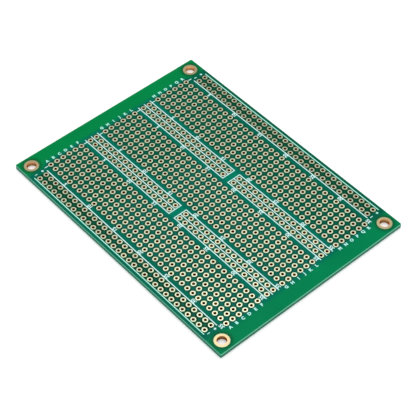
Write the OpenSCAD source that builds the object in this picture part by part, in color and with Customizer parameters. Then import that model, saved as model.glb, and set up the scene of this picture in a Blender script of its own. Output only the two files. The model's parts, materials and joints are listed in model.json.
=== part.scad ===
// Prototype board: a drilled glass and epoxy sheet with plated lead holes on a square grid.
// Three blocks of numbered rows stand between two outer rails and two inner pairs of buses.
// X runs across the columns, Y runs from row 35 to row 1, and Z is up. Sizes are in millimetres.
// The origin is on the underside, below the middle of the board.

/* [Hole grid] */
// Distance between the centres of neighbouring lead holes
pitch = 2.54; // [2.4:0.02:4]
// Number of rows in a block, an odd number so that one row is the middle one
rows = 35; // [11:2:61]
// Number of columns in a block
block_columns = 6; // [3:1:10]
// Rows that an outer rail leaves out at each of its ends
rail_rows_left_out = 1; // [0:1:3]
// Distance from the last column of a block to the nearest column of a rail or bus
group_gap = 3.81; // [3:0.01:8]

/* [Board outline] */
// Bare margin from the outermost column's hole centres to the side edge
side_margin = 2.54; // [2.3:0.01:8]
// Bare margin from the first or last row's hole centres to the end edge
end_margin = 7.62; // [7.4:0.01:20]
// Radius of the board's corners
corner_r = 0.4; // [0.2:0.1:2]

/* [Plated holes] */
// Finished diameter of a lead hole
lead_hole_d = 1.0; // [0.6:0.05:1.2]
// Diameter of the round pad about a lead hole
pad_d = 1.8; // [1.6:0.02:2]
// Finished diameter of a mounting hole
mounting_hole_d = 3.2; // [2.2:0.1:3.6]
// Diameter of the round land about a mounting hole
mounting_land_d = 5.0; // [4.4:0.1:6]
// Distance from a mounting hole's centre to each of the two edges beside it
mounting_inset = 3.81; // [3.4:0.01:4]

/* [Layers] */
// Thickness of the glass and epoxy sheet
substrate_t = 1.5; // [0.8:0.1:2.4]
// Thickness of the copper on each face
copper_t = 0.035; // [0.018:0.001:0.04]
// Thickness of the copper that lines a hole
plating_t = 0.025; // [0.02:0.005:0.05]
// Thickness of the coat of solder mask on each face
mask_t = 0.05; // [0.045:0.005:0.1]
// Gap between a pad's rim and the mask around it
mask_gap = 0.05; // [0.02:0.01:0.08]
// Width of the bare strip of substrate between the mask and the board's edge
mask_setback = 0.15; // [0.05:0.05:0.5]
// Width of the copper that joins one pad to the next, under the mask
join_w = 0.6; // [0.3:0.05:1]

/* [White lines] */
// Width of a printed line
line_w = 0.32; // [0.2:0.02:0.42]
// Thickness of the printed ink
ink_t = 0.02; // [0.01:0.005:0.04]

/* [Hidden] */

// Colours of the substrate, the mask, the plated copper and the ink
substrate_colour = [0.62, 0.72, 0.5];
mask_colour = [0.02, 0.5, 0.33];
pad_colour = [0.93, 0.85, 0.62];
ink_colour = [0.88, 0.97, 0.93];

// Places along Z of the substrate's two faces and of the mask's outer faces
substrate_z = mask_t;
substrate_top = substrate_z + substrate_t;
board_t = substrate_t + 2 * mask_t;

// Widths of the groups of columns, and the size of the whole grid and board
pair_w = pitch;
block_w = (block_columns - 1) * pitch;
grid_w = 4 * pair_w + 3 * block_w + 6 * group_gap;
grid_l = (rows - 1) * pitch;
board_w = grid_w + 2 * side_margin;
board_l = grid_l + 2 * end_margin;

// Place of the first column of each group, from left to right
group_step = block_w + pair_w + 2 * group_gap;
block_x = [for (i = [0:2]) -grid_w / 2 + pair_w + group_gap + i * group_step];
bus_x = [for (i = [0:1]) block_x[i] + block_w + group_gap];
rail_x = [-grid_w / 2, grid_w / 2 - pair_w];

// The middle row has no bus holes, and each half of a bus has the rows on its own side
middle_row = (rows + 1) / 2;
half_rows = middle_row - 1;
rail_rows = rows - 2 * rail_rows_left_out;
half_bus_y = (half_rows + 1) * pitch / 2;

// Places of the mounting holes
mounting_x = board_w / 2 - mounting_inset;
mounting_y = board_l / 2 - mounting_inset;

// Place of the pads' middle radius, where a copper join starts inside the pad
join_start = (pad_d + lead_hole_d) / 4;
lead_drill_d = lead_hole_d + 2 * plating_t;
mounting_drill_d = mounting_hole_d + 2 * plating_t;
pad_window_d = pad_d + 2 * mask_gap;
land_window_d = mounting_land_d + 2 * mask_gap;
drill_l = 3 * board_t;

// Row of copies along Y about the middle of the row
module column_of(count) {
    for (i = [0:count - 1])
        translate([0, (i - (count - 1) / 2) * pitch]) children();
}

// Every lead hole's place, for a shape drawn about its centre
module at_lead_holes() {
    for (x = block_x, i = [0:block_columns - 1])
        translate([x + i * pitch, 0]) column_of(rows) children();
    for (x = rail_x, i = [0, 1])
        translate([x + i * pitch, 0]) column_of(rail_rows) children();
    for (x = bus_x, i = [0, 1], side = [-1, 1])
        translate([x + i * pitch, side * half_bus_y]) column_of(half_rows) children();
}

// Every mounting hole's place
module at_mounting_holes() {
    for (x = [-mounting_x, mounting_x], y = [-mounting_y, mounting_y])
        translate([x, y]) children();
}

// Board outline with round corners, set in from the edge
module outline(inset = 0) {
    w = board_w - 2 * inset;
    l = board_l - 2 * inset;
    square([w - 2 * corner_r, l], center = true);
    square([w, l - 2 * corner_r], center = true);
    for (x = [-1, 1], y = [-1, 1])
        translate([x * (w / 2 - corner_r), y * (l / 2 - corner_r)]) circle(r = corner_r, $fn = 32);
}

// Round drills through the whole board, at every lead hole and mounting hole
module drills(lead_d, mounting_d) {
    at_lead_holes() cylinder(d = lead_d, h = drill_l, center = true, $fn = 32);
    at_mounting_holes() cylinder(d = mounting_d, h = drill_l, center = true, $fn = 64);
}

// Hole lining with a flat ring on each face of the substrate, in one piece
module plated_hole(hole_d, land_d) {
    bore = hole_d / 2;
    wall = bore + plating_t;
    land = land_d / 2;
    low = substrate_z - copper_t;
    high = substrate_top + copper_t;
    rotate_extrude($fn = 48) polygon([
        [bore, low], [land, low], [land, substrate_z], [wall, substrate_z],
        [wall, substrate_top], [land, substrate_top], [land, high], [bore, high]
    ]);
}

// Straight run of plated lead holes along X, with a copper bar from each to the next on the upper face
module strip(count) {
    bar_l = pitch - 2 * join_start;
    for (i = [0:count - 1])
        translate([i * pitch, 0]) plated_hole(lead_hole_d, pad_d);
    for (i = [0:count - 2])
        translate([i * pitch + join_start, -join_w / 2, substrate_top]) cube([bar_l, join_w, copper_t]);
}

// One strip for each row of a block
module row_strips(block) {
    color(pad_colour)
        translate([block_x[block], 0]) column_of(rows) strip(block_columns);
}

// Column of joined holes about a middle place
module column_strip(x, y, count) {
    color(pad_colour)
        translate([x, y - (count - 1) * pitch / 2]) rotate([0, 0, 90]) strip(count);
}

// Half of one bus column, side 1 at the back and side -1 at the front
module half_bus(pair, column, side) {
    column_strip(bus_x[pair] + column * pitch, side * half_bus_y, half_rows);
}

module rail(pair, column) {
    column_strip(rail_x[pair] + column * pitch, 0, rail_rows);
}

module mounting_ring(x_side, y_side) {
    color(pad_colour)
        translate([x_side * mounting_x, y_side * mounting_y])
            plated_hole(mounting_hole_d, mounting_land_d);
}

module substrate() {
    color(substrate_colour)
        difference() {
            translate([0, 0, substrate_z]) linear_extrude(height = substrate_t) outline();
            drills(lead_drill_d, mounting_drill_d);
        }
}

// Flat shape of a straight run of joined pads, about its middle
module join_run(count) {
    square([(count - 1) * pitch, join_w], center = true);
}

// Flat shape of the copper joins, as the upper mask leaves it free
module all_joins() {
    for (x = block_x)
        translate([x + block_w / 2, 0]) column_of(rows) join_run(block_columns);
    for (x = rail_x, i = [0, 1])
        translate([x + i * pitch, 0]) rotate(90) join_run(rail_rows);
    for (x = bus_x, i = [0, 1], side = [-1, 1])
        translate([x + i * pitch, side * half_bus_y]) rotate(90) join_run(half_rows);
}

// The upper coat lies on the substrate and over the joins, and ends short of the pads and the edge
module mask_top() {
    color(mask_colour)
        difference() {
            union() {
                translate([0, 0, substrate_top])
                    linear_extrude(height = copper_t) difference() {
                        outline(mask_setback);
                        all_joins();
                    }
                translate([0, 0, substrate_top + copper_t])
                    linear_extrude(height = mask_t - copper_t) outline(mask_setback);
            }
            drills(pad_window_d, land_window_d);
        }
}

module mask_bottom() {
    color(mask_colour)
        difference() {
            linear_extrude(height = mask_t) outline(mask_setback);
            drills(pad_window_d, land_window_d);
        }
}

// Printed line between two places, on the upper mask
module line(x, y, w, l) {
    color(ink_colour)
        translate([x, y, board_t]) linear_extrude(height = ink_t) square([w, l], center = true);
}

// Two long lines, one on each side of a rail
module rail_lines(pair) {
    for (side = [-0.5, 1.5])
        line(rail_x[pair] + side * pitch, 0, line_w, rail_rows * pitch);
}

// Three long lines and a cross line towards the middle row, about one half of a pair of buses
module bus_frame(pair, side) {
    frame_l = half_rows * pitch;
    for (i = [-0.5, 0.5, 1.5])
        line(bus_x[pair] + i * pitch, side * half_bus_y, line_w, frame_l);
    line(bus_x[pair] + pair_w / 2, side * pitch / 2, 2 * pitch + line_w, line_w);
}

substrate();
mask_top();
mask_bottom();
row_strips(0);  // row_strips_a_f
row_strips(1);  // row_strips_g_l
row_strips(2);  // row_strips_m_r
rail(0, 0);  // rail_left_minus
rail(0, 1);  // rail_left_plus
rail(1, 0);  // rail_right_minus
rail(1, 1);  // rail_right_plus
half_bus(0, 0, 1);  // bus_1_back
half_bus(0, 0, -1);  // bus_1_front
half_bus(0, 1, 1);  // bus_2_back
half_bus(0, 1, -1);  // bus_2_front
half_bus(1, 0, 1);  // bus_3_back
half_bus(1, 0, -1);  // bus_3_front
half_bus(1, 1, 1);  // bus_4_back
half_bus(1, 1, -1);  // bus_4_front
mounting_ring(-1, 1);  // mounting_ring_back_left
mounting_ring(1, 1);  // mounting_ring_back_right
mounting_ring(-1, -1);  // mounting_ring_front_left
mounting_ring(1, -1);  // mounting_ring_front_right
rail_lines(0);  // lines_rail_left
rail_lines(1);  // lines_rail_right
bus_frame(0, 1);  // frame_buses_left_back
bus_frame(0, -1);  // frame_buses_left_front
bus_frame(1, 1);  // frame_buses_right_back
bus_frame(1, -1);  // frame_buses_right_front
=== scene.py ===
# %% [markdown]
# # A prototype board
# The real object is one flat board for soldering: a sheet of woven glass in epoxy, copper strips
# with a plated hole every 2.54 mm, a coat of green lacquer and a little white printing.
# Its solid parts come from the CAD model. This lesson gives each of them the finish of its real
# material, prints the letters and numbers, and sets up the light and the camera.

# %% Load the solid parts
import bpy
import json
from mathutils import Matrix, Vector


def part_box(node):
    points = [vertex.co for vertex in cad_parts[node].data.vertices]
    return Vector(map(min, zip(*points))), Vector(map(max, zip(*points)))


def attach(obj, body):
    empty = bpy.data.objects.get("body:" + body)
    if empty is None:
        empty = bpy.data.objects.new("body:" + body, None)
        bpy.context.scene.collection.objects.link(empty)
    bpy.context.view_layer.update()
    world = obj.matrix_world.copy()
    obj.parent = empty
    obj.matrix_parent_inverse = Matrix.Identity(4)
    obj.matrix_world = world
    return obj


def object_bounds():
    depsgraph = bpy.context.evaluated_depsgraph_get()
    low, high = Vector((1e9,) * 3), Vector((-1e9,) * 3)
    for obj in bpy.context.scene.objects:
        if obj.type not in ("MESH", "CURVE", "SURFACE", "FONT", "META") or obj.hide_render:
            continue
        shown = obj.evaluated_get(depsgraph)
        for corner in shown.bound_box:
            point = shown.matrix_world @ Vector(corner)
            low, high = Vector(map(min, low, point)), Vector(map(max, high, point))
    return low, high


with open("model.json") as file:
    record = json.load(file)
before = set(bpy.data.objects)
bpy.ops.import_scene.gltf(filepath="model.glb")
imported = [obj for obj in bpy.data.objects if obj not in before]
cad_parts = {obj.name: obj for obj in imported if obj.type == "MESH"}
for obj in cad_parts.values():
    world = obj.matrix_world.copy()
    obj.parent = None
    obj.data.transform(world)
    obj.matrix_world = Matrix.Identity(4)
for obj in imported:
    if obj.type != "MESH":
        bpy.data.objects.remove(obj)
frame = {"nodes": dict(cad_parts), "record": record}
solid_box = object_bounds()
print("solid parts:", len(frame["nodes"]), "corners:", [tuple(corner) for corner in solid_box])

# %% [markdown]
# # Sizes
# Everything on the board keeps to one grid, the distance between neighbouring holes, so places
# are easiest to give as a column and a row. Columns are counted in pitches from the first rail on
# the left, and rows are counted as on the printed board, from 1 at the back to 35 at the front.

# %% The grid
import json
import math
import bpy
from mathutils import Quaternion, Vector

mm = 0.001
pitch = 2.54 * mm
middle_column, middle_row = 14, 18
board_size = Vector(solid_box[1]) - Vector(solid_box[0])
face_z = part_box("mask_top")[1].z
ink_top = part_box("lines_rail_left")[1].z


def on_board(column, row):
    """The place of a column and a row on the printed face."""
    return Vector(((column - middle_column) * pitch, (middle_row - row) * pitch, face_z))


print("board", round(board_size.x / pitch), "by", round(board_size.y / pitch), "pitches,",
      "ink", round((ink_top - face_z) / mm, 3), "mm thick")

# %% [markdown]
# # The camera
# The photograph looks down on the board's near left corner from far away, with a long lens, so
# the far edge is only a little shorter than the near one. The place, the aim and the small roll
# were worked out from the holes, which are known to stand on a square grid. The Standard view
# shows each colour as it is written.

# %% Camera
bpy.ops.object.select_all(action="DESELECT")
camera_place = Vector((-200.23, -234.52, 346.98)) * mm
camera_aim = Vector((-3.18, -5.25, 1.6)) * mm
camera_roll = math.radians(-0.711)
bpy.ops.object.camera_add(location=camera_place)
camera = bpy.context.object
camera.name = "camera"
camera.data.lens = 124.62
camera.data.sensor_width = 36.0
camera.data.clip_start, camera.data.clip_end = 0.01, 20.0
look = (camera_aim - camera_place).to_track_quat("-Z", "Y")
camera.rotation_euler = (look @ Quaternion((0, 0, 1), camera_roll)).to_euler()
bpy.context.scene.camera = camera
bpy.context.scene.view_settings.view_transform = "Standard"
print("camera", round((camera_place - camera_aim).length / mm), "mm from the board")

# %% [markdown]
# # One way to add a node
# Materials here are made of nodes. One small function adds any node, gives its settings and
# fills its inputs with a value or a link, so that a material reads as a short list of nodes.
# Some nodes hide inputs and outputs that a setting doesn't use, and the function passes over
# those, so that the colour inputs of a Mix node can be called A and B as they are on screen.

# %% The node helper
def add_node(tree, kind, inputs=None, **settings):
    """Adds a node. An input is a value, a socket, or a node whose first output in use is meant."""
    node = tree.nodes.new("ShaderNode" + kind)
    for name, value in settings.items():
        setattr(node, name, value)
    for key, value in (inputs or {}).items():
        if isinstance(key, str):
            key = next(i for i, s in enumerate(node.inputs) if s.enabled and s.name == key)
        socket = node.inputs[key]
        if isinstance(value, bpy.types.Node):
            value = next(s for s in value.outputs if s.enabled)
        if isinstance(value, bpy.types.NodeSocket):
            tree.links.new(value, socket)
        else:
            socket.default_value = value
    return node


print("add_node:", add_node.__doc__)

# %% [markdown]
# # Colours and new materials
# Colours are written in hex, as the eye sees them on a screen, while Blender's light needs linear
# values, so one function turns one into the other. A second one starts an empty material.

# %% The colour and material helpers
def linear(hex_code):
    """A hex colour, as seen on a screen, as linear red, green, blue and alpha."""
    parts = [int(hex_code[i:i + 2], 16) / 255 for i in (1, 3, 5)]
    return (*[p / 12.92 if p <= 0.04045 else ((p + 0.055) / 1.055) ** 2.4 for p in parts], 1.0)


def empty_material(name):
    """A new material and its node tree, with nothing in it yet."""
    material = bpy.data.materials.new(name)
    material.use_nodes = True
    material.node_tree.nodes.clear()
    return material, material.node_tree


print("mid grey in linear light:", round(linear("#808080")[0], 3))

# %% [markdown]
# # The table
# The board lies on a plain white table. The table glows a little for the camera alone, which
# keeps it white without putting more light on the board, and leaves the thin shadow along the
# board's edges. A mirror and a pane of glass would show the same white, so their rays count too.

# %% Floor
def seen_rays(tree):
    """1 for rays from the camera, from a mirror or through glass, 0 for those that only light."""
    path = add_node(tree, "LightPath").outputs
    seen = add_node(tree, "Math", {0: path["Is Camera Ray"], 1: path["Is Glossy Ray"]},
                    operation="ADD")
    return add_node(tree, "Math", {0: seen, 1: path["Is Transmission Ray"]},
                    operation="ADD", use_clamp=True)


floor_size, below_board, glow_level = 6.0, 0.05 * mm, 0.3
bpy.ops.mesh.primitive_plane_add(size=floor_size, location=(0, 0, -below_board))
floor = bpy.context.object
floor.name = "floor"
paper, tree = empty_material("white_table_top")
glow = add_node(tree, "Math", {0: seen_rays(tree), 1: glow_level}, operation="MULTIPLY")
matt = add_node(tree, "BsdfDiffuse", {"Color": linear("#F4F4F4")})
light = add_node(tree, "Emission", {"Color": linear("#FFFFFF"), "Strength": glow})
both = add_node(tree, "AddShader", {0: matt, 1: light})
add_node(tree, "OutputMaterial", {"Surface": both})
floor.data.materials.append(paper)
print("table", floor_size, "m wide,", round(below_board / mm, 2), "mm below the board")

# %% [markdown]
# # The room
# An even, bright room gives most of the light, as a white tent does around a small product. Seen
# straight or in a mirror its walls are fully white, and as a light they are a shade lower, so
# that no pale surface clips.

# %% Room
room = bpy.data.worlds.new("room")
room.use_nodes = True
bpy.context.scene.world = room
tree = room.node_tree
tree.nodes.clear()
room_level = 0.85
strength = add_node(tree, "Math", {0: seen_rays(tree), 1: 1 - room_level, 2: room_level},
                    operation="MULTIPLY_ADD")
walls = add_node(tree, "Background", {"Color": linear("#FFFFFF"), "Strength": strength})
add_node(tree, "OutputWorld", {"Surface": walls})
print("room level", room_level)

# %% [markdown]
# # The lamp
# One broad lamp stands above and behind the board, opposite the camera. Flat metal mirrors it
# toward the camera, so the plated pads shine, and most of all at the near left corner. It is
# weak, because its work is the shine and not the light on the lacquer.

# %% Lamp
lamp_place = Vector((0.255, 0.274, 0.927))
bpy.ops.object.light_add(type="AREA", location=lamp_place)
lamp = bpy.context.object
lamp.name = "lamp"
lamp.rotation_euler = (-lamp_place).to_track_quat("-Z", "Y").to_euler()
lamp.data.size = 0.35
lamp.data.energy = 2.0
print("lamp", lamp.data.energy, "W,", round(lamp_place.length, 2), "m away")

# %% [markdown]
# # A map of the copper
# The green lacquer isn't the same all over: it is painted darker, as shade, where it dips beside
# a pad, and it is lighter and raised where it climbs over a copper join. The grid is regular, so a
# few nodes can tell for any point how far the nearest pad is and whether a join lies under it.
# First they measure the point in pitches from the board's middle. Both sides of the board are
# alike, so for most questions only the distance from the middle counts.

# %% A point on the grid
def grid_point(tree):
    """The shaded point as it is, and in pitches: signed, and as distances from the middle."""
    place = add_node(tree, "TexCoord").outputs["Object"]
    point = add_node(tree, "VectorMath", {0: place, "Scale": 1 / pitch}, operation="SCALE")
    point = add_node(tree, "SeparateXYZ", {0: point}).outputs
    across = add_node(tree, "Math", {0: point["X"]}, operation="ABSOLUTE")
    along = add_node(tree, "Math", {0: point["Y"]}, operation="ABSOLUTE")
    return {"place": place, "right": point["X"], "toward_back": point["Y"], "up": point["Z"],
            "across": across, "along": along}


print("the printed face is", round(face_z / pitch, 2), "of a pitch above the table")

# %% [markdown]
# # The groups of pads
# The board has three blocks of six columns, two pairs of buses between them, and a pair of rails
# down each long side. Each kind of group is a rectangle. Its middle is so far from the board's
# middle, and its outer pads are so far from its own middle, both across the board and along it.
# A compare node gives 1 within a reach of a middle, so it marks the columns of each kind.

# %% The groups of pads
# The middle and the reach to the outer pads' centres, in pitches, and the way the joins run
pad_groups = {"middle block": {"across": (0.0, 2.5), "along": (0.0, 17.0), "joined": "across"},
              "outer blocks": {"across": (9.0, 2.5), "along": (0.0, 17.0), "joined": "across"},
              "buses": {"across": (4.5, 0.5), "along": (9.0, 8.0), "joined": "along"},
              "rails": {"across": (13.5, 0.5), "along": (0.0, 16.0), "joined": "along"}}
half_pitch = 0.5  # in pitches: from the outer pads' centres to the edge of their group


def column_groups(tree, across):
    """For each kind of group 1 on its columns and 0 elsewhere, and the same for all blocks."""
    on = {}
    for name, group in pad_groups.items():
        middle, reach = group["across"]
        on[name] = add_node(tree, "Math", {0: across, 1: middle, 2: reach + half_pitch},
                            operation="COMPARE")
    on["blocks"] = add_node(tree, "Math", {0: on["middle block"], 1: on["outer blocks"]},
                            operation="ADD")
    return on


print("groups of pads:", ", ".join(pad_groups))

# %% [markdown]
# # Among the pads
# The lacquer's darker tone fills each group of pads and ends softly just outside it. Two ramps
# multiplied, one across the board and one along it, mark such a rectangle, and the four kinds of
# group are added up.

# %% The share that lies among pads
tone_starts, tone_full = 0.52, 0.36  # pitches outward from the outer pads' centres


def pads_share(tree, spot):
    """1 among pads, falling to 0 over the last sixth of a pitch."""
    pads = 0.0
    for group in pad_groups.values():
        share = 1.0
        for way in ("across", "along"):
            middle, reach = group[way]
            off = add_node(tree, "Math", {0: spot[way], 1: middle}, operation="SUBTRACT")
            off = add_node(tree, "Math", {0: off}, operation="ABSOLUTE")
            band = add_node(tree, "MapRange", {"Value": off, "From Min": reach + tone_starts,
                                               "From Max": reach + tone_full})
            share = add_node(tree, "Math", {0: band, 1: share}, operation="MULTIPLY")
        pads = add_node(tree, "Math", {0: share, 1: pads}, operation="ADD")
    return pads


print("the tone fades out over", round((tone_starts - tone_full) * pitch / mm, 2), "mm")

# %% [markdown]
# # How far to the nearest pad
# A ping-pong node folds a long ramp into a zigzag between 0 and a half pitch, which is just the
# distance to the nearest whole pitch. The blocks' columns stand on half pitches and all others
# on whole ones, so the zigzag is turned over inside a block. The four mounting holes are off
# the grid and have a distance of their own.

# %% Distances in pitches
mounting_column, mounting_row = 13.5, 18.5


def pad_distances(tree, spot, block):
    """From the nearest column, row and pad's centre, and from the nearest mounting hole's."""
    wave = add_node(tree, "Math", {0: spot["right"], 1: half_pitch}, operation="PINGPONG")
    shift = add_node(tree, "Math", {0: block, 1: -half_pitch, 2: wave}, operation="MULTIPLY_ADD")
    from_column = add_node(tree, "Math", {0: shift}, operation="ABSOLUTE")
    from_row = add_node(tree, "Math", {0: spot["toward_back"], 1: half_pitch},
                        operation="PINGPONG")
    corner = add_node(tree, "CombineXYZ", {0: from_column, 1: from_row})
    from_pad = add_node(tree, "VectorMath", {0: corner}, operation="LENGTH")
    over = add_node(tree, "Math", {0: spot["across"], 1: mounting_column}, operation="SUBTRACT")
    down = add_node(tree, "Math", {0: spot["along"], 1: mounting_row}, operation="SUBTRACT")
    corner = add_node(tree, "CombineXYZ", {0: over, 1: down})
    from_mount = add_node(tree, "VectorMath", {0: corner}, operation="LENGTH")
    return from_column, from_row, from_pad, from_mount


print("mounting holes", mounting_column * 2, "by", mounting_row * 2, "pitches apart")

# %% [markdown]
# # Where the joins run
# Narrow copper joins link the pads under the lacquer: along the rows in a block, and along the
# columns in a bus or a rail, always from the first pad of a group to the last. They lie only
# under the printed face.

# %% The joins
join_edge, join_core = 0.15, 0.10  # pitches from the line through the pads' centres
between_faces = 0.3  # pitches above the table, about the middle of the sheet


def joins_share(tree, spot, block, from_column, from_row):
    """1 over a copper join and 0 beside it."""
    run = 0.0
    for group in pad_groups.values():
        inside = 1.0
        for way in ("across", "along"):
            middle, reach = group[way]
            limit = reach if way == group["joined"] else reach + half_pitch
            band = add_node(tree, "Math", {0: spot[way], 1: middle, 2: limit},
                            operation="COMPARE")
            inside = add_node(tree, "Math", {0: band, 1: inside}, operation="MULTIPLY")
        run = add_node(tree, "Math", {0: inside, 1: run}, operation="ADD")
    printed = add_node(tree, "Math", {0: spot["up"], 1: between_faces}, operation="GREATER_THAN")
    run = add_node(tree, "Math", {0: run, 1: printed}, operation="MULTIPLY")
    beside = add_node(tree, "Mix", {"Factor": block, "A": from_column, "B": from_row},
                      data_type="FLOAT")
    join = add_node(tree, "MapRange", {"Value": beside, "From Min": join_edge,
                                       "From Max": join_core}, interpolation_type="SMOOTHSTEP")
    return add_node(tree, "Math", {0: join, 1: run}, operation="MULTIPLY")


print("a join shows about", round((join_edge + join_core) * pitch / mm, 2), "mm wide")

# %% [markdown]
# # The whole map
# Two more places have a tone of their own: the bare ends of the board, which reach a little
# further in beside the rails, because the rails are shorter, and the short streets between the
# halves of the buses. A dictionary then holds all the answers by name.

# %% The map of the copper
rails_start, rails_full = 11.8, 12.4  # pitches from the board's middle line
rails_shorter = 0.6
ends_start, ends_full = 17.4, 18.3  # pitches from the middle row
street_edge, street_core = 0.55, 0.25


def copper_map(tree):
    """Distances in pitches, and shares from 0 to 1, for the point that is being shaded."""
    spot = grid_point(tree)
    on = column_groups(tree, spot["across"])
    from_column, from_row, from_pad, from_mount = pad_distances(tree, spot, on["blocks"])
    join = joins_share(tree, spot, on["blocks"], from_column, from_row)
    beyond = add_node(tree, "MapRange", {"Value": spot["across"], "From Min": rails_start,
                                         "From Max": rails_full, "To Max": rails_shorter})
    beyond = add_node(tree, "Math", {0: spot["along"], 1: beyond}, operation="ADD")
    ends = add_node(tree, "MapRange", {"Value": beyond, "From Min": ends_start,
                                       "From Max": ends_full}, interpolation_type="SMOOTHSTEP")
    street = add_node(tree, "MapRange", {"Value": spot["along"], "From Min": street_edge,
                                         "From Max": street_core},
                      interpolation_type="SMOOTHSTEP")
    street = add_node(tree, "Math", {0: street, 1: on["buses"]}, operation="MULTIPLY")
    return {**spot, "rail": on["rails"], "pads": pads_share(tree, spot), "from_pad": from_pad,
            "from_mount": from_mount, "join": join, "ends": ends, "street": street}


print("the bare ends begin", round(ends_start * pitch / mm, 1), "mm from the middle row")

# %% [markdown]
# # Green solder mask: the ground colour
# Solder mask is an epoxy lacquer, flooded over the whole board, exposed through a film and
# cured. It is slightly see-through, so its colour depends on what lies below: bright green over
# bare laminate and a deeper blue-green in the crowded middle. Among the pads toward the near left
# corner it is painted a little milky, a painted sheen of reflected light. Soft masks from the map
# mix these colours.

# %% Solder mask, ground colour
mask, tree = empty_material("cured_green_solder_mask")
where = copper_map(tree)
open_green, open_front_green = linear("#008244"), linear("#007E4E")
crowded_green, painted_sheen_green, street_green = linear("#006D58"), linear("#147D6F"), linear("#007A60")
last_row, painted_sheen_from, painted_sheen_full = 17.0, 8.0, 3.0  # pitches from the board's middle
front = add_node(tree, "MapRange", {"Value": where["toward_back"], "From Min": last_row,
                                    "From Max": -last_row})
margin = add_node(tree, "Mix", {"Factor": front, "A": open_green, "B": open_front_green},
                  data_type="RGBA")
near = where["pads"]
# Painted sheen: a paler, milky green among the pads toward the near left corner stands for
# reflected light.
for way in ("toward_back", "right"):
    painted_sheen = add_node(tree, "MapRange", {"Value": where[way], "From Min": painted_sheen_from,
                                        "From Max": painted_sheen_full})
    near = add_node(tree, "Math", {0: near, 1: painted_sheen}, operation="MULTIPLY")
ground = crowded_green
for share, colour in ((near, painted_sheen_green), (where["ends"], margin), (where["street"], street_green)):
    ground = add_node(tree, "Mix", {"Factor": share, "A": ground, "B": colour}, data_type="RGBA")
print(len(tree.nodes), "nodes for the ground colour")

# %% [markdown]
# # Green solder mask: rims and ridges
# Beside each pad the lacquer dips toward the pad's window, which has a radius of 0.95 mm. A painted
# shade darkens it there most and fades out toward the middle of four pads. Over a join the lacquer
# is thin, so the copper makes it paler. On the rails the painted shade beside the pads is deeper,
# and the joins are fainter and more olive.

# %% Solder mask, rims and ridges
rim_shade_green, join_green, rail_join_green = linear("#073A1E"), linear("#387050"), linear("#3A6638")
rim_shade_starts, rim_shade_full = 0.81, 0.37  # pitches from a pad's centre
rail_rim_shade_more, rail_join_less = 0.35, 0.3
# Painted shade: the lacquer beside each pad is darkened, most within its window, and more on the
# rails.
rim = add_node(tree, "MapRange", {"Value": where["from_pad"], "From Min": rim_shade_starts,
                                  "From Max": rim_shade_full})
rim = add_node(tree, "Math", {0: rim, 1: where["pads"]}, operation="MULTIPLY")
deeper = add_node(tree, "Math", {0: where["rail"], 1: rail_rim_shade_more, 2: 1.0},
                  operation="MULTIPLY_ADD")
rim = add_node(tree, "Math", {0: rim, 1: deeper}, operation="MULTIPLY", use_clamp=True)
fainter = add_node(tree, "Math", {0: where["rail"], 1: -rail_join_less, 2: 1.0},
                   operation="MULTIPLY_ADD")
ridge = add_node(tree, "Math", {0: fainter, 1: where["join"]}, operation="MULTIPLY")
join_colour = add_node(tree, "Mix", {"Factor": where["rail"], "A": join_green,
                                     "B": rail_join_green}, data_type="RGBA")
for share, colour in ((rim, rim_shade_green), (ridge, join_colour)):
    ground = add_node(tree, "Mix", {"Factor": share, "A": ground, "B": colour}, data_type="RGBA")
print("a rim is darkest within", round(rim_shade_full * pitch / mm, 2), "mm of its pad's centre")

# %% [markdown]
# Green solder mask: painted shade at the sides
# A painted shade darkens the lacquer along both pairs of rails and toward the right edge, more
# beside the rails' pads than among them, and not at the bare ends. The lacquer is also darker
# about the wide mounting lands.

# %% Solder mask, painted shade at the sides
edge_shade_green, dip_green = linear("#034A2E"), linear("#103820")
# The way over the board, where the painted shade begins and where it is full, and how much it
# darkens
edge_shade_places = (("across", 11.0, 12.4, 0.22), ("right", 11.0, 14.5, 0.36))
less_shade_among_pads = 0.6
dip_starts, dip_full, dip_depth = 1.6, 1.05, 0.6  # the first two in pitches from the hole
thick = 0.0
# Painted shade along the rails and toward the right edge, kept out of the bare ends and lighter
# among pads.
for way, start, full, amount in edge_shade_places:
    coat = add_node(tree, "MapRange", {"Value": where[way], "From Min": start, "From Max": full,
                                       "To Max": amount})
    thick = add_node(tree, "Math", {0: thick, 1: coat}, operation="ADD")
for place_share, less in ((where["ends"], 1.0), (where["pads"], less_shade_among_pads)):
    left = add_node(tree, "Math", {0: place_share, 1: -less, 2: 1.0}, operation="MULTIPLY_ADD")
    thick = add_node(tree, "Math", {0: thick, 1: left}, operation="MULTIPLY")
dip = add_node(tree, "MapRange", {"Value": where["from_mount"], "From Min": dip_starts,
                                  "From Max": dip_full, "To Max": dip_depth})
for share, colour in ((thick, edge_shade_green), (dip, dip_green)):
    ground = add_node(tree, "Mix", {"Factor": share, "A": ground, "B": colour}, data_type="RGBA")
print("thick coat and dips added,", len(tree.nodes), "nodes")

# %% [markdown]
# # The weave of the glass
# The sheet below the lacquer is woven from glass threads that lie about 0.55 mm apart. A wave
# texture repeats after pi/10 of its scaled length, which gives the scale for a real thread. The
# same weave is used for the sheet itself.

# %% The weave
thread = 0.55 * mm


def woven(tree, place):
    """Two wave textures, one for each way that the glass threads run."""
    return [add_node(tree, "TexWave", {"Vector": place, "Scale": math.pi / 10 / thread},
                     bands_direction=way).outputs["Fac"] for way in "XY"]


print("wave texture scale for the thread:", round(math.pi / 10 / thread))

# %% [markdown]
# # Green solder mask: weave, peel and gloss
# The weave shows through the coat as a very faint grid. Uneven drying leaves soft patches about
# 12 mm across and an orange peel of about 0.4 mm. The joins stand up by one thickness of copper,
# and the heights of peel and weave are given as shares of that. The real coat is glossy, but the
# photograph shows almost no white in it, so its mirror share is kept low.

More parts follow.
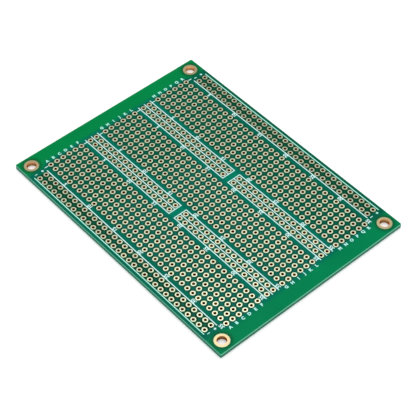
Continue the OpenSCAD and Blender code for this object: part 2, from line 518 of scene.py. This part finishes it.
# %% Solder mask, finish
drying_patch, peel_size, copper_height = 12 * mm, 0.4 * mm, 0.035 * mm
noise_low, noise_high = 0.3, 0.7  # a noise texture keeps mostly between these
weave_tone, peel_height, weave_height = 0.02, 0.08, 0.03
warp, weft = woven(tree, where["place"])
weave = add_node(tree, "Math", {0: warp, 1: weft}, operation="ADD")
patches = add_node(tree, "TexNoise", {"Vector": where["place"], "Scale": 1 / drying_patch,
                                      "Detail": 3.0})
tone = add_node(tree, "MapRange", {"Value": patches, "From Min": noise_low,
                                   "From Max": noise_high, "To Min": 0.93, "To Max": 1.05})
tone = add_node(tree, "Math", {0: weave, 1: weave_tone, 2: tone}, operation="MULTIPLY_ADD")
ground = add_node(tree, "VectorMath", {0: ground, "Scale": tone}, operation="SCALE")
peel = add_node(tree, "TexNoise", {"Vector": where["place"], "Scale": 1 / peel_size,
                                   "Detail": 2.0})
height = add_node(tree, "Math", {0: peel, 1: peel_height, 2: where["join"]},
                  operation="MULTIPLY_ADD")
height = add_node(tree, "Math", {0: weave, 1: weave_height, 2: height}, operation="MULTIPLY_ADD")
bump = add_node(tree, "Bump", {"Height": height, "Distance": copper_height, "Strength": 1.0})
gloss = add_node(tree, "MapRange", {"Value": peel, "To Min": 0.22, "To Max": 0.34})
surface = add_node(tree, "BsdfPrincipled", {"Base Color": ground, "Roughness": gloss,
                                            "Normal": bump, "IOR": 1.5,
                                            "Specular IOR Level": 0.015})
add_node(tree, "OutputMaterial", {"Surface": surface})
print(mask.name, "has", len(tree.nodes), "nodes")

# %% [markdown]
# # Glass and epoxy laminate: the sawn edge
# The sheet is eight layers of glass cloth pressed in epoxy. Its edge is sawn or routed, so it is
# matt, with a hair-thin line where each layer of cloth ends. Painted light makes the topmost
# 0.3 mm paler, most of all on the near side, which is painted far paler than the other three as
# the lit side. Below that band the edge's own colour is painted darker, as shade.

# %% Laminate, edge
laminate, tree = empty_material("woven_glass_epoxy_laminate")
place = add_node(tree, "TexCoord").outputs["Object"]
height = add_node(tree, "SeparateXYZ", {0: place}).outputs["Z"]
normal = add_node(tree, "NewGeometry").outputs["Normal"]
normal = add_node(tree, "SeparateXYZ", {0: normal}).outputs
sawn_green, sawn_fibre_green = linear("#166A54"), linear("#348C72")
lit_green, lit_near_green = linear("#2CA484"), linear("#6CDCAC")
ply, fibre, lit_from, lit_to = 1.5 * mm / 8, 0.25 * mm, 1.15 * mm, 1.5 * mm
plies = add_node(tree, "TexWave", {"Vector": place, "Scale": math.pi / 10 / ply,
                                   "Distortion": 0.4}, bands_direction="Z")
fibres = add_node(tree, "TexNoise", {"Vector": place, "Scale": 1 / fibre, "Detail": 4.0})
edge_tone = add_node(tree, "Math", {0: plies.outputs["Fac"], 1: fibres}, operation="MULTIPLY")
edge = add_node(tree, "Mix", {"Factor": edge_tone, "A": sawn_green, "B": sawn_fibre_green},
                data_type="RGBA")
# Painted light: the near side is painted paler, as the side facing the light.
lit_side = add_node(tree, "MapRange", {"Value": normal["Y"], "From Min": -0.5,
                                        "From Max": -1.0})
lit = add_node(tree, "Mix", {"Factor": lit_side, "A": lit_green, "B": lit_near_green},
               data_type="RGBA")
# Painted light on the top band of the edge; below it the dark colour stands for painted shade.
lit_band = add_node(tree, "MapRange", {"Value": height, "From Min": lit_from, "From Max": lit_to},
                 interpolation_type="SMOOTHSTEP")
edge = add_node(tree, "Mix", {"Factor": lit_band, "A": edge, "B": lit}, data_type="RGBA")
print("layers of cloth every", round(ply / mm, 3), "mm")

# %% [markdown]
# # Glass and epoxy laminate: the face
# The face shows only in a narrow strip around the board, where the lacquer stops short of the
# edge, and in the thin trench about each pad. In the strip the cloth shines through pale green,
# and the trenches are deep in shade. The distance to the board's edge tells one from the other.

# %% Laminate, face
cloth_green, thread_green, trench_green = linear("#66BC9A"), linear("#84CEAE"), linear("#24452F")
strip = 0.3 * mm
warp, weft = woven(tree, place)
cloth = add_node(tree, "Math", {0: warp, 1: weft}, operation="MULTIPLY")
sheet = add_node(tree, "Mix", {"Factor": cloth, "A": cloth_green, "B": thread_green},
                 data_type="RGBA")
from_middle = add_node(tree, "VectorMath", {0: place}, operation="ABSOLUTE")
to_edge = add_node(tree, "VectorMath", {0: board_size / 2, 1: from_middle}, operation="SUBTRACT")
to_edge = add_node(tree, "SeparateXYZ", {0: to_edge}).outputs
to_edge = add_node(tree, "Math", {0: to_edge["X"], 1: to_edge["Y"]}, operation="MINIMUM")
inside = add_node(tree, "Math", {0: to_edge, 1: strip}, operation="GREATER_THAN")
sheet = add_node(tree, "Mix", {"Factor": inside, "A": sheet, "B": trench_green},
                 data_type="RGBA")
facing = add_node(tree, "Math", {0: normal["Z"]}, operation="ABSOLUTE")
base = add_node(tree, "Mix", {"Factor": facing, "A": edge, "B": sheet}, data_type="RGBA")
bump = add_node(tree, "Bump", {"Height": edge_tone, "Distance": 0.02 * mm, "Strength": 0.6})
surface = add_node(tree, "BsdfPrincipled", {"Base Color": base, "Roughness": 0.6,
                                            "Normal": bump, "IOR": 1.52,
                                            "Specular IOR Level": 0.25})
add_node(tree, "OutputMaterial", {"Surface": surface})
print(laminate.name, "has", len(tree.nodes), "nodes")

# %% [markdown]
# # Light in a plated hole
# Pads and hole linings are copper with a thin flash of gold over nickel. Down in a hole light
# bounces from wall to wall and each bounce takes out blue and green, so a lining looks red-brown
# and darkens with depth. The lamp stands beyond the far right corner, so the linings are lit
# best there and least at the near left corner.

# %% Light in a hole
light_from, light_to, full_light = 0.8 * mm, 1.35 * mm, 1.2
to_corner = mounting_column + mounting_row  # columns and rows from the middle, counted together


def lining_light(tree, where, depth_shade, corner_shades):
    """The light on a hole's lining, by its depth and by how far it is toward the lamp."""
    deep = add_node(tree, "MapRange", {"Value": where["up"], "From Min": light_from / pitch,
                                       "From Max": light_to / pitch, "To Min": depth_shade,
                                       "To Max": full_light})
    diagonal = add_node(tree, "Math", {0: where["right"], 1: where["toward_back"]},
                        operation="ADD")
    toward_light = add_node(tree, "MapRange", {"Value": diagonal, "From Min": -to_corner,
                                               "From Max": to_corner, "To Min": corner_shades[0],
                                               "To Max": corner_shades[1]})
    return add_node(tree, "Math", {0: deep, 1: toward_light}, operation="MULTIPLY")


print("full light from", round(light_to / mm, 2), "mm above the table")

# %% [markdown]
# Stains, and painted shade on the rails
# The plating bath leaves soft stains about 3 mm across. The two pairs of rails are painted a little
# darker, as shade, and the far one more so.

# %% Stains and painted shade on the plating
stain_size, palest, darkest = 3 * mm, 1.06, 0.9
painted_rail_shade_from, painted_rail_shade_to = 12.2, 12.8  # pitches from the board's middle line


def plating_tone(tree, where, rail_shade):
    """A factor near 1 for stains, times rail_shade or its square on the rails as painted shade."""
    stains = add_node(tree, "TexNoise", {"Vector": where["place"], "Scale": 1 / stain_size,
                                         "Detail": 2.0})
    tone = add_node(tree, "MapRange", {"Value": stains, "From Min": noise_low,
                                       "From Max": noise_high, "To Min": darkest,
                                       "To Max": palest})
    for way in ("across", "right"):
        painted_rail_shade = add_node(tree, "MapRange", {"Value": where[way], "From Min": painted_rail_shade_from,
                                           "From Max": painted_rail_shade_to, "To Min": 1.0,
                                           "To Max": rail_shade})
        tone = add_node(tree, "Math", {0: tone, 1: painted_rail_shade}, operation="MULTIPLY")
    return tone


print("stains", round(stain_size / mm), "mm across")

# %% [markdown]
# # Plated copper
# The flash is laid down in a chemical bath, so it is pale and finely matt. Each land is painted
# warmer at the edge of the hole and cooler and greener toward its rim. A lining seen at a flat
# angle mirrors the opposite wall and not the room, so its shine is tinted warm. One function makes
# both plated finishes, because the small pads and the wide mounting lands differ only in a few
# values.

# %% Plated copper material
grain_size, grain_height, grain_gloss = 0.12 * mm, 0.004 * mm, 0.06
lining_tint, plain_tint = linear("#D08040"), linear("#FFFFFF")


def plated_copper(name, centre, radii, land_colours, lining_colour, roughness, depth_shade,
                  corner_shades, rail_shade):
    """Gold-flashed copper: flat lands that turn from a warm to a cooler colour, deeper linings.

    centre names the distance in pitches that counts, and radii where the two land colours stand.
    depth_shade is what is left of the light deep in a hole, corner_shades at the near left and
    the far right corner, and rail_shade is the painted shade left on the rails."""
    material, tree = empty_material(name)
    where = copper_map(tree)
    normal = add_node(tree, "NewGeometry").outputs["Normal"]
    upward = add_node(tree, "SeparateXYZ", {0: normal}).outputs["Z"]
    flat = add_node(tree, "Math", {0: upward}, operation="ABSOLUTE")
    shade = lining_light(tree, where, depth_shade, corner_shades)
    lining = add_node(tree, "VectorMath", {0: linear(lining_colour)[:3], "Scale": shade},
                      operation="SCALE")
    outward = add_node(tree, "MapRange", {"Value": where[centre], "From Min": radii[0],
                                          "From Max": radii[1]})
    land = add_node(tree, "Mix", {"Factor": outward, "A": linear(land_colours[0]),
                                  "B": linear(land_colours[1])}, data_type="RGBA")
    base = add_node(tree, "Mix", {"Factor": flat, "A": lining, "B": land}, data_type="RGBA")
    tint = add_node(tree, "Mix", {"Factor": flat, "A": lining_tint, "B": plain_tint},
                    data_type="RGBA")
    base = add_node(tree, "VectorMath", {0: base, "Scale": plating_tone(tree, where, rail_shade)},
                    operation="SCALE")
    # The bath leaves a grain that is finer than a pixel, so it is drawn as coarse as it can show
    grain = add_node(tree, "TexNoise", {"Vector": where["place"], "Scale": 1 / grain_size,
                                        "Detail": 3.0})
    gloss = add_node(tree, "MapRange", {"Value": grain, "To Min": roughness - grain_gloss,
                                        "To Max": roughness + grain_gloss})
    bump = add_node(tree, "Bump", {"Height": grain, "Distance": grain_height, "Strength": 0.5})
    surface = add_node(tree, "BsdfPrincipled", {"Base Color": base, "Metallic": 1.0,
                                                "Roughness": gloss, "Normal": bump,
                                                "Specular Tint": tint})
    add_node(tree, "OutputMaterial", {"Surface": surface})
    return material


print("grain drawn", round(grain_size / mm, 2), "mm across")

# %% [markdown]
# # The two plated finishes
# A small pad runs from its hole, 0.2 of a pitch from the centre, to its window at 0.36. A
# mounting land runs from 0.62 to 0.98. Its lining is lit from below too, as the hole is wide
# and the table white, so it keeps more of its light, and it changes more from corner to corner.

# %% Small pads and wide lands
small_pads = plated_copper("gold_flashed_copper_pads", centre="from_pad", radii=(0.2, 0.36),
                           land_colours=("#C6BA94", "#A1BAA7"), lining_colour="#A43C00",
                           roughness=0.33, depth_shade=0.15, corner_shades=(0.85, 1.2),
                           rail_shade=0.89)
wide_lands = plated_copper("gold_flashed_copper_mounting_lands", centre="from_mount",
                           radii=(0.62, 0.98), land_colours=("#B4946C", "#939878"),
                           lining_colour="#BC8A5C", roughness=0.28, depth_shade=0.6,
                           corner_shades=(0.68, 1.45), rail_shade=1.0)
print("plated finishes:", small_pads.name, "and", wide_lands.name)

# %% [markdown]
# White printing ink: the greener rim
# The lines and signs are epoxy ink, screen printed and baked: opaque, satin, and a fraction of a
# hair thick. It is a cool white. Near the rim of the board, outside the blocks' rows and outside
# the rails, it is given a greener tint: more at the back and at the sides than at the front.

# %% Ink, the greener rim
ink, tree = empty_material("screen_printed_white_ink")
where = grid_point(tree)
back_ink, front_ink, side_ink = linear("#AAFCE8"), linear("#B6FEF4"), linear("#ACF6E2")
# Pitches from the board's middle at which each change begins and ends
back_to_front, into_ends, into_sides = (1.0, -1.0), (17.2, 17.5), (12.7, 14.3)
toward_front, ends, sides = [
    add_node(tree, "MapRange", {"Value": where[way], "From Min": start, "From Max": end})
    for way, (start, end) in (("toward_back", back_to_front), ("along", into_ends),
                              ("across", into_sides))]
rim_tint_ink = add_node(tree, "Mix", {"Factor": toward_front, "A": back_ink, "B": front_ink},
                   data_type="RGBA")
rim_tint_ink = add_node(tree, "Mix", {"Factor": ends, "A": side_ink, "B": rim_tint_ink}, data_type="RGBA")
rim = add_node(tree, "Math", {0: ends, 1: sides}, operation="MAXIMUM")
print(len(tree.nodes), "nodes tell where the ink is thin")

# %% [markdown]
# # White printing ink: speckle and gloss
# The mesh of the screen leaves fine speckles about 0.2 mm across, which are a little thinner and
# rougher than the rest.

# %% Ink, speckle and gloss
full_ink, speckle_ink = linear("#D2FAF8"), linear("#B4E6E0")
speckle_size, speckle_height = 0.2 * mm, 0.006 * mm
speckle = add_node(tree, "TexNoise", {"Vector": where["place"], "Scale": 1 / speckle_size,
                                      "Detail": 4.0})
thin = add_node(tree, "MapRange", {"Value": speckle, "From Min": 0.55, "From Max": 0.75})
base = add_node(tree, "Mix", {"Factor": thin, "A": full_ink, "B": speckle_ink},
                data_type="RGBA")
base = add_node(tree, "Mix", {"Factor": rim, "A": base, "B": rim_tint_ink}, data_type="RGBA")
gloss = add_node(tree, "MapRange", {"Value": speckle, "To Min": 0.42, "To Max": 0.6})
bump = add_node(tree, "Bump", {"Height": speckle, "Distance": speckle_height, "Strength": 0.6})
surface = add_node(tree, "BsdfPrincipled", {"Base Color": base, "Roughness": gloss,
                                            "Normal": bump, "IOR": 1.5})
add_node(tree, "OutputMaterial", {"Surface": surface})
print(ink.name, "has", len(tree.nodes), "nodes")

# %% [markdown]
# # Dress the solid parts
# The model's record says which finish each solid part has, so the parts needn't be named here.
# Only the mounting rings differ: their wide flat lands are a shade deeper than the small pads.

# %% Assign the materials
finishes = {"glass_epoxy": laminate, "solder_mask": mask, "plated_copper": small_pads,
            "white_ink": ink}
for part in frame["record"]["subparts"]:
    is_ring = part["node"].startswith("mounting_ring")
    solid = frame["nodes"][part["node"]]
    solid.data.materials.clear()
    solid.data.materials.append(wide_lands if is_ring else finishes[part["material_slot"]])

# %% [markdown]
# # One printed sign
# The grid reference is drawn in the same ink as the lines. Text objects give true letter shapes,
# and a little thickness makes them ink. Each sign is made a mesh first and then put on its place,
# centred on a column and a row.

# %% A helper that draws one sign
ink_film = 0.9 * (ink_top - face_z)  # a little less than the lines, so that it never stands proud
capital_share = 0.73  # a capital letter's height as a share of the text's size
curve_steps = 3


def draw_sign(text, column, row, height, turn, boldness):
    """One sign as a thin mesh on the printed face."""
    bpy.ops.object.text_add(rotation=(0, 0, turn))
    letter = bpy.context.object.data
    letter.body = text
    letter.size = height / capital_share
    letter.offset = boldness
    letter.extrude = ink_film / 2
    letter.resolution_u = curve_steps
    bpy.ops.object.convert(target="MESH")
    sign = bpy.context.object
    bpy.ops.object.origin_set(type="ORIGIN_GEOMETRY", center="BOUNDS")
    sign.location = on_board(column, row) + Vector((0, 0, ink_film / 2))
    return sign


print("signs are", round(ink_film / mm, 3), "mm thick")

# %% [markdown]
# # A set of signs
# A whole set becomes one piece, because one film prints them all. Its doubled points are merged
# and its faces turned outwards, so that the ink is a closed solid.

# %% A helper that prints a set of signs
merge_distance = 0.001 * mm


def print_set(name, signs, height, turn, boldness):
    """Prints (text, column, row) signs as one piece of ink, each centred on its place."""
    printed = [draw_sign(*sign, height, turn, boldness) for sign in signs]
    bpy.ops.object.select_all(action="DESELECT")
    for sign in printed:
        sign.select_set(True)
    bpy.context.view_layer.objects.active = printed[0]
    bpy.ops.object.join()
    piece = bpy.context.object
    piece.name = piece.data.name = name
    bpy.ops.object.transform_apply(location=True, rotation=True, scale=True)
    bpy.ops.object.mode_set(mode="EDIT")
    bpy.ops.mesh.select_all(action="SELECT")
    bpy.ops.mesh.remove_doubles(threshold=merge_distance)
    bpy.ops.mesh.normals_make_consistent(inside=False)
    bpy.ops.object.mode_set(mode="OBJECT")
    piece.data.materials.clear()
    piece.data.materials.append(ink)
    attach(piece, "root")
    print(name, len(piece.data.polygons), "faces")
    return piece


print("print_set:", print_set.__doc__)

# %% [markdown]
# # Printing it again
# The same letters stand at both ends of the columns, the same numbers beside every block, and the
# same signs at every rail. A copy with its own mesh only has to move, by whole or part pitches.

# %% A helper that prints a set again
def print_again(piece, name, columns, rows):
    """A copy of a printed piece with its own mesh, moved over the board."""
    bpy.ops.object.select_all(action="DESELECT")
    piece.select_set(True)
    bpy.context.view_layer.objects.active = piece
    bpy.ops.object.duplicate()
    copy = bpy.context.object
    copy.name = copy.data.name = name
    copy.location = (columns * pitch, -rows * pitch, 0)
    bpy.ops.object.transform_apply(location=True, rotation=False, scale=False)
    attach(copy, "root")
    print(name, "moved", round(columns, 2), "columns and", round(rows, 2), "rows")


print("print_again:", print_again.__doc__)

# %% [markdown]
# # Column letters
# Every column of a block has its letter at both ends, upright for a reader at the front edge.
# They are plain capitals a good millimetre high, about as small as screen printing can hold.

# %% Column letters
block_starts, block_columns = (2.5, 11.5, 20.5), 6
letters = "ABCDEFGHIJKLMNOPQR"
letter_height, letter_boldness = 1.08 * mm, 0.07 * mm
back_row, front_row = 0.2, 35.75
letter_columns = [start + i for start in block_starts for i in range(block_columns)]
letter_signs = [(letter, column, back_row) for letter, column in zip(letters, letter_columns)]
letters_back = print_set("letters_back", letter_signs, letter_height, 0, letter_boldness)
print_again(letters_back, "letters_front", 0, front_row - back_row)

# %% [markdown]
# # Row numbers
# Every fifth row has its number on both sides of each block, turned a quarter to be read from
# the right, so that it fits between the pads and the white line. The first set is printed at the
# left of the first block, and five copies move to the other sides of the blocks.

# %% Row numbers
numbered_rows = (1, 5, 10, 15, 20, 25, 30, 35)
beside_block, nudge = 0.7, -0.03
number_height, number_boldness = 1.3 * mm, 0.05 * mm
first = block_starts[0] - beside_block
numbers = print_set("numbers_block_1_left", [(str(r), first, r + nudge) for r in numbered_rows],
                    number_height, math.pi / 2, number_boldness)
for i, start in enumerate(block_starts):
    if i > 0:
        print_again(numbers, f"numbers_block_{i + 1}_left", start - beside_block - first, 0)
    last = start + block_columns - 1
    print_again(numbers, f"numbers_block_{i + 1}_right", last + beside_block - first, 0)

# %% [markdown]
# # Rail signs
# Each pair of rails is marked with a minus and a plus at both ends, the outer rail of the left
# pair as minus. A dash is used for the minus, because a hyphen would be too short.

# %% Rail signs
sign_height, sign_boldness = 1.12 * mm, 0.08 * mm
signs_back_row, signs_front_row = 1.2, 34.72
left_minus, left_plus, right_minus = 0, 1, 27  # columns
signs = print_set("signs_back_left", [("–", left_minus, signs_back_row),
                                      ("+", left_plus, signs_back_row)],
                  sign_height, 0, sign_boldness)
print_again(signs, "signs_back_right", right_minus, 0)
print_again(signs, "signs_front_left", 0, signs_front_row - signs_back_row)
print_again(signs, "signs_front_right", right_minus, signs_front_row - signs_back_row)

# %% [markdown]
# # Finish
